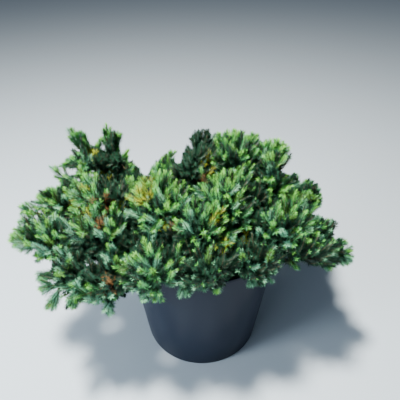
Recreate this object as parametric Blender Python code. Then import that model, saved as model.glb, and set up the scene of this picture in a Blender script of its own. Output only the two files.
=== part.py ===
"""A dwarf spreading juniper in a nursery pot.

A short leaning stem stands in the potting mix. Its boughs arch out low over the rim, most of them fork, and each
one ends where it enters a tuft of needled shoots. Metres, +Z up, -Y to the front. The origin is the centre of the
pot's flat underside.
"""

import math
import random
from collections import namedtuple

import bmesh
import bpy
from mathutils import Matrix, Vector, kdtree, noise

# Clearance between pieces that touch
GAP = 0.0003

# Pot
POT_HEIGHT = 0.208
POT_RIM_RADIUS = 0.114
POT_FOOT_RADIUS = 0.0914
POT_WALL = 0.0018
POT_FLOOR = 0.003
FOOT_ROUNDING = 0.0025
FOOT_CHAMFER = 0.3
RIM_THICKENING = 0.0007
RIM_DEPTH = 0.005
POT_SEGMENTS = 36
DRAIN_HOLES = 6
DRAIN_RADIUS = 0.005
DRAIN_REACH = 0.064
DRAIN_SIDES = 8

# Potting mix
SOIL_LEVEL = POT_HEIGHT - 0.019
SOIL_MOUND = 0.003
SOIL_LUMPS = 0.0015
SOIL_FLAT_RADIUS = 0.022
SOIL_RINGS = (0.8, 0.6, 0.4)
SOIL_GRAIN = 60.0

# Trunk, from the soil to the leader
TRUNK_FOOT = Vector((0.003, -0.004, SOIL_LEVEL + GAP))
TRUNK_BEND = Vector((0.004, -0.003, 0.0))
TRUNK_FOOT_RADIUS = 0.0118
TRUNK_RADIUS = 0.0082
TRUNK_TIP_RADIUS = 0.0055
FLARE_SHARE = 0.28
TRUNK_SIDES = 10
TRUNK_RINGS = 7

# Boughs
BOUGH_SIDES = 5
BOUGH_RINGS = 5
BOUGH_ROOT_RADIUS = 0.0034
SIDE_BOUGH_ROOT_RADIUS = 0.0027
BOUGH_TIP_RADIUS = 0.0018
BOUGH_RISE = 0.35
BOUGH_LEAD = 0.40
RIM_PASS = (0.007, 0.024)
RIM_CROSSER = POT_RIM_RADIUS - 0.022
RIM_MARGIN = 0.008
MARK_SPACING = 0.003

# Tufts: the space of each is an egg that points away from the stem
TUFT_SOURCE = Vector((0.0, 0.0, POT_HEIGHT - 0.035))
TUFT_DROOP = -0.12
TUFT_LIFT = 4.0
TUFT_STRETCH = (1.12, 1.0, 0.90)
TUFT_CLEARANCE = 0.022
LIMB_CLEARANCE = 0.0012
POT_CLEARANCE = 0.002
CORE_SHARES = {"fresh": 0.48, "green": 0.56, "shade": 0.62}
CORE_SEGMENTS = 6
CORE_RINGS = 4
CORE_LUMPS = 0.22
CORE_CLEARANCE = 0.0035
CORE_STEP = 0.04
CORE_TRIALS = 8
CORE_DRAW = 0.12
FACET_PROBES = [(i / 4, j / 4) for i in range(5) for j in range(5 - i)]
STEM_BACK = 0.62
STEM_STRAIGHT = 0.006
STEM_AHEAD = 0.10
STEM_RADII = (0.0018, 0.0017, 0.0014)
STEM_SIDES = 5
TWIG_RADIUS = 0.0015
SPINE_PROBES = (0.15, 0.3, 0.45, 0.6, 0.75, 0.9, 1.0)
NEEDLE_PROBES = (0.5, 0.75, 1.0)

# Shoots: each stands for a spray of needles
SHOOT_DENSITY = 2900.0
SHOOT_FAN = math.radians(105.0)
HEART_BACK = 0.5
STEM_BEARS = (0.4, 0.95)
SHOOT_LENGTH = 0.038
SHOOT_SHARE = 0.70
SHOOT_WIDTH = 0.020
SHOOT_CORE = 0.22
SHOOT_TAPER = 0.5
SHOOT_SIZES = (0.9, 1.0)
SHOOT_WIDTHS = (0.9, 1.1)
SHOOT_WHORLS = (0.0, 0.42, 0.76)
SHOOT_TRIALS = (1.0, 0.9, 0.8, 0.7, 0.6)
NEEDLE_LEAN = 0.26
GOLDEN_ANGLE = math.pi * (3.0 - math.sqrt(5.0))

# One row for each tuft: where it sits as seen from the pot's axis (bearing in degrees from +X, reach, and rise
# above the rim), its size and tone, and which limb carries its bough, at which share of that limb's length.
# The leader has no bough: it sits on the trunk's tip
Tuft = namedtuple("Tuft", "bearing reach rise size tone carrier fork")
TUFTS = {
    "crown_heart": Tuft(110, 0.032, 0.074, 0.050, "shade", "trunk", 1.00),
    "left_front": Tuft(-151, 0.188, -0.006, 0.058, "green", "trunk", 0.22),
    "front_mid": Tuft(-85, 0.110, 0.020, 0.052, "green", "trunk", 0.20),
    "far_right": Tuft(-13, 0.166, 0.002, 0.056, "fresh", "trunk", 0.22),
    "back_right": Tuft(54, 0.134, 0.034, 0.062, "green", "trunk", 0.20),
    "back_left": Tuft(142, 0.168, 0.012, 0.058, "shade", "trunk", 0.22),
    "left": Tuft(176, 0.188, 0.032, 0.058, "fresh", "trunk", 0.44),
    "front": Tuft(-116, 0.122, 0.016, 0.054, "green", "trunk", 0.44),
    "right_front": Tuft(-28, 0.116, 0.040, 0.056, "green", "trunk", 0.44),
    "crown_back": Tuft(93, 0.098, 0.054, 0.052, "shade", "trunk", 0.44),
    "inner_spire": Tuft(156, 0.136, 0.080, 0.053, "green", "trunk", 0.62),
    "front_right": Tuft(-58, 0.114, 0.014, 0.052, "green", "trunk", 0.60),
    "dome": Tuft(36, 0.060, 0.080, 0.054, "fresh", "trunk", 0.62),
    "mid_front": Tuft(-146, 0.062, 0.050, 0.064, "green", "left_front", 0.22),
    "mid_right": Tuft(-48, 0.044, 0.058, 0.058, "green", "front_right", 0.24),
    "crown_mid": Tuft(134, 0.076, 0.038, 0.052, "shade", "back_left", 0.30),
    "front_heart": Tuft(-94, 0.066, 0.038, 0.064, "shade", "front_mid", 0.30),
    "left_spire": Tuft(166, 0.168, 0.084, 0.056, "fresh", "inner_spire", 0.50),
    "left_low": Tuft(-166, 0.208, 0.012, 0.056, "fresh", "left", 0.62),
    "front_left": Tuft(-138, 0.150, -0.008, 0.058, "green", "left_front", 0.46),
    "mid_left": Tuft(-174, 0.122, 0.044, 0.064, "green", "left", 0.42),
    "left_heart": Tuft(-156, 0.134, 0.026, 0.062, "shade", "left_front", 0.72),
    "right_heart": Tuft(-20, 0.074, 0.042, 0.054, "shade", "right_front", 0.34),
    "right_low": Tuft(-34, 0.144, 0.014, 0.051, "green", "front_right", 0.50),
    "shoulder": Tuft(8, 0.142, 0.036, 0.055, "fresh", "far_right", 0.45),
    "dome_right": Tuft(4, 0.096, 0.076, 0.050, "fresh", "dome", 0.35),
    "right_back": Tuft(27, 0.160, 0.002, 0.058, "green", "back_right", 0.45),
    "back": Tuft(80, 0.158, 0.010, 0.054, "green", "crown_back", 0.45),
    "back_low": Tuft(116, 0.142, -0.006, 0.052, "shade", "back_left", 0.58),
}
LEADER = "crown_heart"
SEED = 41

# Looks: base colour and roughness of each kind of piece
POT_LOOK = ((0.040, 0.047, 0.058), 0.42)
SOIL_LOOK = ((0.045, 0.028, 0.018), 0.95)
BARK_LOOK = ((0.150, 0.082, 0.048), 0.85)
NEEDLE_LOOKS = {
    "fresh": ((0.120, 0.300, 0.070), 0.50),
    "green": ((0.055, 0.190, 0.070), 0.50),
    "shade": ((0.022, 0.095, 0.050), 0.55),
}
SMOOTH_BELOW = math.radians(38.0)


def clear_scene():
    for thing in list(bpy.data.objects):
        bpy.data.objects.remove(thing, do_unlink=True)


def finish(name, look):
    """A material with the look's colour and roughness."""
    colour, roughness = look
    material = bpy.data.materials.new(name)
    material.use_nodes = True
    shader = material.node_tree.nodes["Principled BSDF"]
    shader.inputs["Base Color"].default_value = (*colour, 1.0)
    shader.inputs["Roughness"].default_value = roughness
    shader.inputs["Metallic"].default_value = 0.0
    material.diffuse_color = (*colour, 1.0)
    return material


def put(name, mesh, look, smooth=False):
    """Places a mesh in the scene as the named piece."""
    mesh.name = name
    mesh.materials.clear()
    mesh.materials.append(finish(name, look))
    if smooth:
        mesh.shade_smooth()
        mesh.set_sharp_from_angle(angle=SMOOTH_BELOW)
    piece = bpy.data.objects.new(name, mesh)
    bpy.context.scene.collection.objects.link(piece)
    return piece


def to_mesh(bm, name):
    """Finishes a closed bmesh as a mesh whose faces point out."""
    bmesh.ops.recalc_face_normals(bm, faces=bm.faces)
    if bm.calc_volume(signed=True) < 0.0:
        bmesh.ops.reverse_faces(bm, faces=bm.faces)
    mesh = bpy.data.meshes.new(name)
    bm.to_mesh(mesh)
    bm.free()
    return mesh


def applied(piece):
    """Turns the piece's modifiers into its mesh."""
    depsgraph = bpy.context.evaluated_depsgraph_get()
    mesh = bpy.data.meshes.new_from_object(piece.evaluated_get(depsgraph))
    piece.modifiers.clear()
    piece.data = mesh
    return piece


def turned(name, outline, segments):
    """A solid turned about Z from an outline of (radius, height) that starts and ends on the axis."""
    bm = bmesh.new()
    corners = [bm.verts.new((radius, 0.0, height)) for radius, height in outline]
    edges = [bm.edges.new(pair) for pair in zip(corners, corners[1:])]
    bmesh.ops.spin(bm, geom=corners + edges, axis=(0, 0, 1), cent=(0, 0, 0), steps=segments, angle=math.tau)
    bmesh.ops.remove_doubles(bm, verts=bm.verts, dist=1e-5)
    return to_mesh(bm, name)


def tube(name, points, radii, sides, level_foot=False):
    """A closed tapering solid whose rings follow the points, with flat ends; its foot can be cut level."""
    bm = bmesh.new()
    rings = []
    across = (points[1] - points[0]).orthogonal()
    for i, (point, radius) in enumerate(zip(points, radii)):
        ahead = (points[min(i + 1, len(points) - 1)] - points[max(i - 1, 0)]).normalized()
        if level_foot and i == 0:
            ahead = Vector((0.0, 0.0, 1.0))
        across = (across - ahead * across.dot(ahead)).normalized()
        up = ahead.cross(across)
        turns = [math.tau * k / sides for k in range(sides)]
        ways = [across * math.cos(turn) + up * math.sin(turn) for turn in turns]
        rings.append([bm.verts.new(point + way * radius) for way in ways])
    bm.faces.new(rings[0][::-1])
    bm.faces.new(rings[-1])
    for lower, upper in zip(rings, rings[1:]):
        for k in range(sides):
            bm.faces.new((lower[k], lower[k - 1], upper[k - 1], upper[k]))
    return to_mesh(bm, name)


def cut_clear(piece, cutter_mesh):
    """Cuts the piece back from a neighbour, given that neighbour's shape grown by the gap."""
    cutter = bpy.data.objects.new("cutter", cutter_mesh)
    bpy.context.scene.collection.objects.link(cutter)
    cut = piece.modifiers.new("cut", "BOOLEAN")
    cut.operation = "DIFFERENCE"
    cut.object = cutter
    applied(piece)
    bpy.data.objects.remove(cutter, do_unlink=True)


# Pot and potting mix


def pot_radius(height):
    """The pot's outer radius at a height."""
    return POT_FOOT_RADIUS + (POT_RIM_RADIUS - RIM_THICKENING - POT_FOOT_RADIUS) * height / POT_HEIGHT


def make_pot():
    inner_foot = pot_radius(POT_FLOOR) - POT_WALL
    rim_base = POT_HEIGHT - RIM_DEPTH
    lip_inner = pot_radius(POT_HEIGHT) - POT_WALL
    outline = [
        (0.0, 0.0),
        (POT_FOOT_RADIUS - FOOT_ROUNDING, 0.0),
        (POT_FOOT_RADIUS - FOOT_CHAMFER * FOOT_ROUNDING, FOOT_CHAMFER * FOOT_ROUNDING),
        (pot_radius(FOOT_ROUNDING), FOOT_ROUNDING),
        (pot_radius(rim_base), rim_base),
        (POT_RIM_RADIUS, rim_base + RIM_THICKENING),
        (POT_RIM_RADIUS, POT_HEIGHT - RIM_THICKENING),
        (POT_RIM_RADIUS - RIM_THICKENING, POT_HEIGHT),
        (lip_inner, POT_HEIGHT),
        (inner_foot, POT_FLOOR),
        (0.0, POT_FLOOR),
    ]
    pot = put("pot", turned("pot", outline, POT_SEGMENTS), POT_LOOK)
    drills = bmesh.new()
    for k in range(DRAIN_HOLES):
        turn = Matrix.Rotation(math.tau * (k + 0.5) / DRAIN_HOLES, 4, "Z")
        place = turn @ Matrix.Translation((DRAIN_REACH, 0.0, POT_FLOOR / 2))
        bmesh.ops.create_cone(
            drills, cap_ends=True, segments=DRAIN_SIDES, radius1=DRAIN_RADIUS, radius2=DRAIN_RADIUS,
            depth=3 * POT_FLOOR, matrix=place,
        )
    cut_clear(pot, to_mesh(drills, "drills"))
    pot.data.shade_smooth()
    pot.data.set_sharp_from_angle(angle=SMOOTH_BELOW)


def make_soil():
    """Potting mix that fills the pot, a little higher round the stem and lumpy on top."""
    def inner(height):
        return pot_radius(height) - POT_WALL - GAP

    floor = POT_FLOOR + GAP
    edge = inner(SOIL_LEVEL - SOIL_MOUND)
    outline = [(0.0, floor), (inner(floor), floor), (edge, SOIL_LEVEL - SOIL_MOUND)]
    outline += [(edge * share, SOIL_LEVEL - SOIL_MOUND * share) for share in SOIL_RINGS]
    outline += [(SOIL_FLAT_RADIUS, SOIL_LEVEL), (0.0, SOIL_LEVEL)]
    mesh = turned("potting_mix", outline, POT_SEGMENTS)
    for corner in mesh.vertices:
        reach = math.hypot(corner.co.x, corner.co.y)
        if SOIL_FLAT_RADIUS + GAP < reach < edge - GAP and corner.co.z > SOIL_LEVEL / 2:
            corner.co.z += SOIL_LUMPS * noise.noise(corner.co * SOIL_GRAIN)
    put("potting_mix", mesh, SOIL_LOOK)


# Limbs


def trunk_route():
    """Centres and radii of the trunk, which leans from its flared foot to the leader's stem."""
    lean = stem_start(TUFTS[LEADER]) - TRUNK_FOOT
    points, radii = [], []
    for k in range(TRUNK_RINGS):
        share = k / (TRUNK_RINGS - 1)
        points.append(TRUNK_FOOT + lean * share + TRUNK_BEND * math.sin(math.pi * share))
        radius = TRUNK_RADIUS + (TRUNK_TIP_RADIUS - TRUNK_RADIUS) * share
        flare = max(0.0, 1.0 - share / FLARE_SHARE) ** 2
        radii.append(radius + (TRUNK_FOOT_RADIUS - TRUNK_RADIUS) * flare)
    return points, radii


def along(route, share):
    """The point at a share of a route's rings."""
    points = route[0]
    place = share * (len(points) - 1)
    k = min(int(place), len(points) - 2)
    return points[k].lerp(points[k + 1], place - k)


def egg(tuft):
    """Centre and axes of a tuft's space; the axes' lengths are its half sizes."""
    bearing = math.radians(tuft.bearing)
    centre = Vector((tuft.reach * math.cos(bearing), tuft.reach * math.sin(bearing), POT_HEIGHT + tuft.rise))
    lift = Vector((0.0, 0.0, TUFT_DROOP + TUFT_LIFT * tuft.rise))
    aim = ((centre - TUFT_SOURCE).normalized() + lift).normalized()
    across = aim.cross(Vector((0.0, 0.0, 1.0))).normalized()
    up = across.cross(aim)
    axes = [axis * tuft.size * stretch for axis, stretch in zip((aim, across, up), TUFT_STRETCH)]
    return centre, axes


def stem_start(tuft):
    """Where a tuft's stem begins: at the back of its space, and over the rim rather than against it."""
    centre, axes = egg(tuft)
    start = centre - axes[0] * STEM_BACK
    if math.hypot(start.x, start.y) < POT_RIM_RADIUS + RIM_MARGIN:
        start.z = max(start.z, POT_HEIGHT + RIM_MARGIN)
    return start


def bough_route(name, routes):
    """Centres and radii of a bough that leaves its carrier, arches out and ends at its tuft's stem."""
    tuft = TUFTS[name]
    start = along(routes[tuft.carrier], tuft.fork)
    end = stem_start(tuft)
    aim = egg(tuft)[1][0].normalized()
    span = end - start
    leave = (Vector((span.x, span.y, 0.0)).normalized() + Vector((0.0, 0.0, BOUGH_RISE))).normalized()
    handles = [start, start + leave * span.length * BOUGH_LEAD, end - aim * span.length * BOUGH_LEAD, end]
    if math.hypot(end.x, end.y) > RIM_CROSSER:
        for handle, rise in zip(handles[1:3], RIM_PASS):
            handle.z = max(handle.z, POT_HEIGHT + rise)
    root = BOUGH_ROOT_RADIUS if tuft.carrier == "trunk" else SIDE_BOUGH_ROOT_RADIUS
    points, radii = [], []
    for k in range(BOUGH_RINGS):
        t = k / (BOUGH_RINGS - 1)
        weights = ((1 - t) ** 3, 3 * t * (1 - t) ** 2, 3 * t * t * (1 - t), t ** 3)
        points.append(sum((handle * weight for handle, weight in zip(handles, weights)), Vector()))
        radii.append(root + (BOUGH_TIP_RADIUS - root) * t)
    return points, radii


def limb_routes():
    """Routes of the trunk and of every bough, carriers first."""
    routes = {"trunk": trunk_route()}
    waiting = [name for name in TUFTS if name != LEADER]
    while waiting:
        name = waiting.pop(0)
        if TUFTS[name].carrier in routes:
            routes[name] = bough_route(name, routes)
        else:
            waiting.append(name)
    return routes


def stem_route(name, routes):
    """Points of a tuft's stem, which carries on from its limb's tip and bends to the tuft's heart."""
    points, _ = routes["trunk" if name == LEADER else name]
    ahead = (points[-1] - points[-2]).normalized()
    centre, axes = egg(TUFTS[name])
    return [points[-1] + ahead * GAP, points[-1] + ahead * STEM_STRAIGHT, centre + axes[0] * STEM_AHEAD]


def grown(route, sides):
    """A limb's shape, larger by the gap, to cut its side boughs clear."""
    points, radii = route
    spare = GAP / math.cos(math.pi / sides)
    ahead = (points[-1] - points[-2]).normalized() * GAP
    longer = points[:-1] + [points[-1] + ahead]
    return tube("grown", longer, [radius + spare for radius in radii], sides)


def make_limbs(routes):
    points, radii = routes["trunk"]
    put("trunk", tube("trunk", points, radii, TRUNK_SIDES, level_foot=True), BARK_LOOK, smooth=True)
    for name in routes:
        if name == "trunk":
            continue
        carrier = TUFTS[name].carrier
        bough = put(f"bough_{name}", tube(name, *routes[name], BOUGH_SIDES), BARK_LOOK, smooth=True)
        cut_clear(bough, grown(routes[carrier], TRUNK_SIDES if carrier == "trunk" else BOUGH_SIDES))
        largest_part(bough)


def limb_marks(routes):
    """Points all along the limbs, with their radii, for finding how near a place is to a limb."""
    marks = []
    for points, radii in routes.values():
        steps = zip(points, points[1:], radii, radii[1:])
        for here, there, radius, next_radius in steps:
            count = max(2, int((there - here).length / MARK_SPACING))
            marks += [(here.lerp(there, k / count), radius + (next_radius - radius) * k / count)
                      for k in range(count + 1)]
    tree = kdtree.KDTree(len(marks))
    for k, (place, _) in enumerate(marks):
        tree.insert(place, k)
    tree.balance()
    return tree, [radius for _, radius in marks]


# Foliage


def depth_in(space, place):
    """How far out a place lies in a tuft's space: 0 at its centre, 1 at its skin."""
    centre, axes = space
    offset = place - centre
    return math.sqrt(sum((offset.dot(axis) / axis.length_squared) ** 2 for axis in axes))


def is_clear(place, marks, clearance):
    """Whether a place is clear of the limbs, the pot and the potting mix."""
    reach = math.hypot(place.x, place.y)
    if place.z < POT_HEIGHT + POT_CLEARANCE and reach < POT_RIM_RADIUS + POT_CLEARANCE + clearance:
        return False
    tree, radii = marks
    near = tree.find_range(place, TRUNK_FOOT_RADIUS + clearance)
    return all(distance > radii[k] + clearance for _, k, distance in near)


def is_free(place, name, spaces, marks, clearance):
    """Whether a place is clear of everything and in the tuft's own space."""
    if not is_clear(place, marks, clearance):
        return False
    own = depth_in(spaces[name], place)
    margin = TUFT_CLEARANCE + clearance / TUFTS[name].size
    return all(depth_in(space, place) > own + margin for other, space in spaces.items() if other != name)


def core_mesh(name, spaces, marks, rng):
    """A lumpy heart for the tuft, drawn in wherever it would leave the tuft's space or near a limb."""
    centre, axes = spaces[name]
    bm = bmesh.new()
    bmesh.ops.create_uvsphere(bm, u_segments=CORE_SEGMENTS, v_segments=CORE_RINGS, radius=1.0)
    bmesh.ops.triangulate(bm, faces=bm.faces)
    for corner in bm.verts:
        unit = corner.co.normalized()
        ray = sum((axis * part for axis, part in zip(axes, unit)), Vector())
        wanted = CORE_SHARES[TUFTS[name].tone] * (1.0 + rng.uniform(-CORE_LUMPS, CORE_LUMPS))
        share = CORE_STEP
        while share < wanted:
            if not is_free(centre + ray * (share + CORE_STEP), name, spaces, marks, CORE_CLEARANCE):
                break
            share += CORE_STEP
        corner.co = centre + ray * share
    for _ in range(CORE_TRIALS):
        tight = set()
        for face in bm.faces:
            a, b, c = (corner.co for corner in face.verts)
            probes = [a * u + b * v + c * (1.0 - u - v) for u, v in FACET_PROBES]
            if not all(is_clear(probe, marks, CORE_CLEARANCE) for probe in probes):
                tight.update(face.verts)
        for corner in tight:
            corner.co = corner.co.lerp(centre, CORE_DRAW)
    return to_mesh(bm, "core")


def spokes(axis, level):
    """Three directions square to a shoot's axis; those of the next level stand between them."""
    across = axis.orthogonal().normalized()
    up = axis.normalized().cross(across)
    turns = [math.tau * (i / 3 + level / 6) for i in range(3)]
    return [across * math.cos(turn) + up * math.sin(turn) for turn in turns]


def needle_tips(root, tip, width):
    """Tips of a shoot's needles, whorl by whorl."""
    axis = tip - root
    whorls = []
    for level, shares in enumerate(zip(SHOOT_WHORLS, SHOOT_WHORLS[1:]), start=2):
        middle = root + axis * (sum(shares) / 2 + NEEDLE_LEAN)
        whorls.append([middle + spoke * width / 2 for spoke in spokes(axis, level)])
    return whorls


def shoot_mesh(start, root, tip, width):
    """A twig that ends in a spray of needles: its facets are drawn out, whorl over whorl, into needles."""
    bm = bmesh.new()
    axis = tip - root
    middles = [start] + [root + axis * share for share in SHOOT_WHORLS]
    cores = [TWIG_RADIUS] + [width * SHOOT_CORE * (1.0 - SHOOT_TAPER * share) for share in SHOOT_WHORLS]
    rings = []
    for level, (middle, core) in enumerate(zip(middles, cores)):
        rings.append([bm.verts.new(middle + spoke * core) for spoke in spokes(axis, level)])
    bm.faces.new(rings[0])
    whorls = [None] + needle_tips(root, tip, width)
    for lower, upper, whorl in zip(rings, rings[1:], whorls):
        for i in range(3):
            a, b, c, d = lower[i], lower[(i + 1) % 3], upper[i], upper[(i + 1) % 3]
            bm.faces.new((b, d, c))
            if whorl is None:
                bm.faces.new((a, b, c))
                continue
            point = bm.verts.new(whorl[i])
            for pair in ((a, b), (b, c), (c, a)):
                bm.faces.new((*pair, point))
    end = bm.verts.new(tip)
    for i in range(3):
        bm.faces.new((rings[-1][i], rings[-1][(i + 1) % 3], end))
    return to_mesh(bm, "shoot")


def shoot_places(name, stem, spaces, marks, rng):
    """Start, root, tip and width of each shoot, fanned out evenly; a shoot with no room is left out."""
    centre, axes = spaces[name]
    heart = centre - axes[0] * HEART_BACK
    core = SHOOT_WIDTH * SHOOT_CORE
    spread = 1.0 - math.cos(SHOOT_FAN)
    first_turn = rng.uniform(0.0, math.tau)
    places = []
    count = round(SHOOT_DENSITY * TUFTS[name].size ** 2)
    for k in range(count):
        lean = math.acos(1.0 - spread * (k + 0.5) / count)
        turn = first_turn + k * GOLDEN_ANGLE
        unit = (math.cos(lean), math.sin(lean) * math.cos(turn), math.sin(lean) * math.sin(turn))
        ray = sum((axis * part for axis, part in zip(axes, unit)), Vector())
        size = rng.uniform(*SHOOT_SIZES)
        start = stem[1].lerp(stem[2], rng.uniform(*STEM_BEARS))
        for trial in SHOOT_TRIALS:
            tip = centre + ray * size * trial
            way = (tip - heart).normalized()
            length = min(SHOOT_LENGTH * size, (tip - heart).length * SHOOT_SHARE)
            root = tip - way * length
            width = SHOOT_WIDTH * rng.uniform(*SHOOT_WIDTHS)
            probes = []
            for share in SPINE_PROBES:
                probes.append((start.lerp(root, share), TWIG_RADIUS + (core - TWIG_RADIUS) * share))
                probes.append((root.lerp(tip, share), core * (1.0 - share)))
            for whorl in needle_tips(root, tip, width):
                probes += [(root.lerp(point, share), 0.0) for point in whorl for share in NEEDLE_PROBES]
            if all(is_free(probe, name, spaces, marks, LIMB_CLEARANCE + girth) for probe, girth in probes):
                places.append((start, root, tip, width))
                break
    return places


def largest_part(piece):
    """Keeps the largest closed part of a fused piece: scraps and sealed hollows go."""
    bm = bmesh.new()
    bm.from_mesh(piece.data)
    bmesh.ops.triangulate(bm, faces=bm.faces)
    waiting = set(bm.faces)
    parts = []
    while waiting:
        part, front = set(), [waiting.pop()]
        while front:
            face = front.pop()
            part.add(face)
            for edge in face.edges:
                for other in edge.link_faces:
                    if other in waiting:
                        waiting.discard(other)
                        front.append(other)
        parts.append(part)
    parts.sort(key=len)
    bmesh.ops.delete(bm, geom=[face for part in parts[:-1] for face in part], context="FACES")
    bm.to_mesh(piece.data)
    bm.free()


def fuse(name, meshes, look):
    """Joins closed meshes into one solid by a union on a collection of them."""
    body = put(name, meshes[0], look)
    others = bpy.data.collections.new("others")
    bpy.context.scene.collection.children.link(others)
    for mesh in meshes[1:]:
        others.objects.link(bpy.data.objects.new("other", mesh))
    union = body.modifiers.new("union", "BOOLEAN")
    union.operation = "UNION"
    union.operand_type = "COLLECTION"
    union.collection = others
    union.solver = "MANIFOLD"
    applied(body)
    for other in list(others.objects):
        bpy.data.objects.remove(other, do_unlink=True)
    bpy.data.collections.remove(others)
    largest_part(body)
    return body


def make_foliage(routes):
    spaces = {name: egg(tuft) for name, tuft in TUFTS.items()}
    marks = limb_marks(routes)
    for order, (name, tuft) in enumerate(TUFTS.items()):
        rng = random.Random(SEED + order)
        stem = stem_route(name, routes)
        meshes = [core_mesh(name, spaces, marks, rng)]
        meshes.append(tube("stem", stem, STEM_RADII, STEM_SIDES))
        meshes += [shoot_mesh(*place) for place in shoot_places(name, stem, spaces, marks, rng)]
        fuse(f"foliage_{name}", meshes, NEEDLE_LOOKS[tuft.tone])


def main():
    clear_scene()
    make_pot()
    make_soil()
    routes = limb_routes()
    make_limbs(routes)
    make_foliage(routes)


main()
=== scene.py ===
"""The looks of a dwarf spreading juniper in a nursery pot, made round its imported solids.

The boughs carry on as twigs. Each tuft of foliage is a fan of plumes: a branchlet ringed by side
shoots, all of them clad in whorls of three awl-shaped needles. Metres, +Z up, -Y to the front.
"""

import math
import random
from collections import namedtuple

import bmesh
import bpy
import numpy as np
from mathutils import Matrix, Vector, noise


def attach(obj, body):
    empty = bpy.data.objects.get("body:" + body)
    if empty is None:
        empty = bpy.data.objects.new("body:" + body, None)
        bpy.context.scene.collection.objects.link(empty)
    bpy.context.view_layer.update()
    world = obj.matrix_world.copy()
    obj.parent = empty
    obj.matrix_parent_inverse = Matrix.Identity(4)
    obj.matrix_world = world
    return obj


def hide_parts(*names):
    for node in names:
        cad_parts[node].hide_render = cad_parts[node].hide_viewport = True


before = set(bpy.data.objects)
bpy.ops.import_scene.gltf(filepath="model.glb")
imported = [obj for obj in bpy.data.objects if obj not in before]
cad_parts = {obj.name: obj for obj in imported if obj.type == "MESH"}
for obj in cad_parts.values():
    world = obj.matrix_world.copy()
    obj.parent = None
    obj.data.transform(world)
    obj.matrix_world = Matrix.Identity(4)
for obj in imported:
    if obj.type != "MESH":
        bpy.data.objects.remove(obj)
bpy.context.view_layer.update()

# Camera: the photograph's place and tilt
CAMERA_PLACE = (-0.0029, -0.450, 0.578)
CAMERA_TILT = math.radians(35.9)
CAMERA_LENS = 36.0
SENSOR_WIDTH = 36.0

# Pot and potting mix
POT_HEIGHT = 0.208
POT_RIM_RADIUS = 0.114
POT_FOOT_RADIUS = 0.0914
POT_WALL = 0.0018
POT_FLOOR = 0.003
FOOT_ROUNDING = 0.0025
RIM_THICKENING = 0.0007
RIM_DEPTH = 0.005
RIM_INSET = 0.0001
WALL_SHARES = (0.1, 0.3, 0.5, 0.7, 0.9, 0.985)
POT_SEGMENTS = 144
POT_SHARP_ANGLE = math.radians(38.0)
DRAIN_HOLES = 6
DRAIN_RADIUS = 0.005
DRAIN_REACH = 0.064
DRAIN_SEGMENTS = 24
WELD = 1e-5
GAP = 0.0003
SOIL_LEVEL = POT_HEIGHT - 0.019
SOIL_MOUND = 0.003
SOIL_RINGS = 40
SOIL_SEGMENTS = 120
SOIL_LUMPS = ((90.0, 0.0016), (320.0, 0.0009))
CHIPS = 900
CHIP_CORNERS = ((-1, 0, 0), (1, 0, 0), (0, -1, 0), (0, 1, 0), (0, 0, 1), (0, 0, -1))
CHIP_FACES = ((0, 2, 4), (2, 1, 4), (1, 3, 4), (3, 0, 4), (2, 0, 5), (1, 2, 5), (3, 1, 5), (0, 3, 5))
CHIP_HALVES = ((0.0015, 0.0050), (0.0010, 0.0026), (0.0005, 0.0012))
CHIP_EDGE_SPACE = 0.005
CHIP_TRUNK_SPACE = 0.006
CHIP_LIFT = 0.0012
CHIP_TILT = 0.5
CHIP_ROUGHNESS = (0.75, 1.25)
CHIP_SKEW = 0.3

# Trunk and boughs, by the source's rule
TRUNK_FOOT = Vector((0.003, -0.004, SOIL_LEVEL + GAP))
TRUNK_BEND = Vector((0.004, -0.003, 0.0))
TRUNK_FOOT_RADIUS = 0.0118
TRUNK_RADIUS = 0.0082
TRUNK_TIP_RADIUS = 0.0055
FLARE_SHARE = 0.28
BOUGH_ROOT_RADIUS = 0.0034
SIDE_BOUGH_ROOT_RADIUS = 0.0027
BOUGH_TIP_RADIUS = 0.0018
BOUGH_RISE = 0.35
BOUGH_LEAD = 0.40
RIM_PASS = (0.007, 0.024)
RIM_CROSSER = POT_RIM_RADIUS - 0.022
RIM_MARGIN = 0.008
TRUNK_SIDES = 14
BOUGH_SIDES = 10
BARK_STEP = 0.003
BARK_RELIEF = 0.10
RIDGES_ROUND = 2.2
RIDGES_ALONG = 0.16
RIDGE_SHARE = 1.2
FLAKE_SCALE = 420.0
FLAKE_TURN = 3.0
FLAKE_SHARE = 0.9

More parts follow.
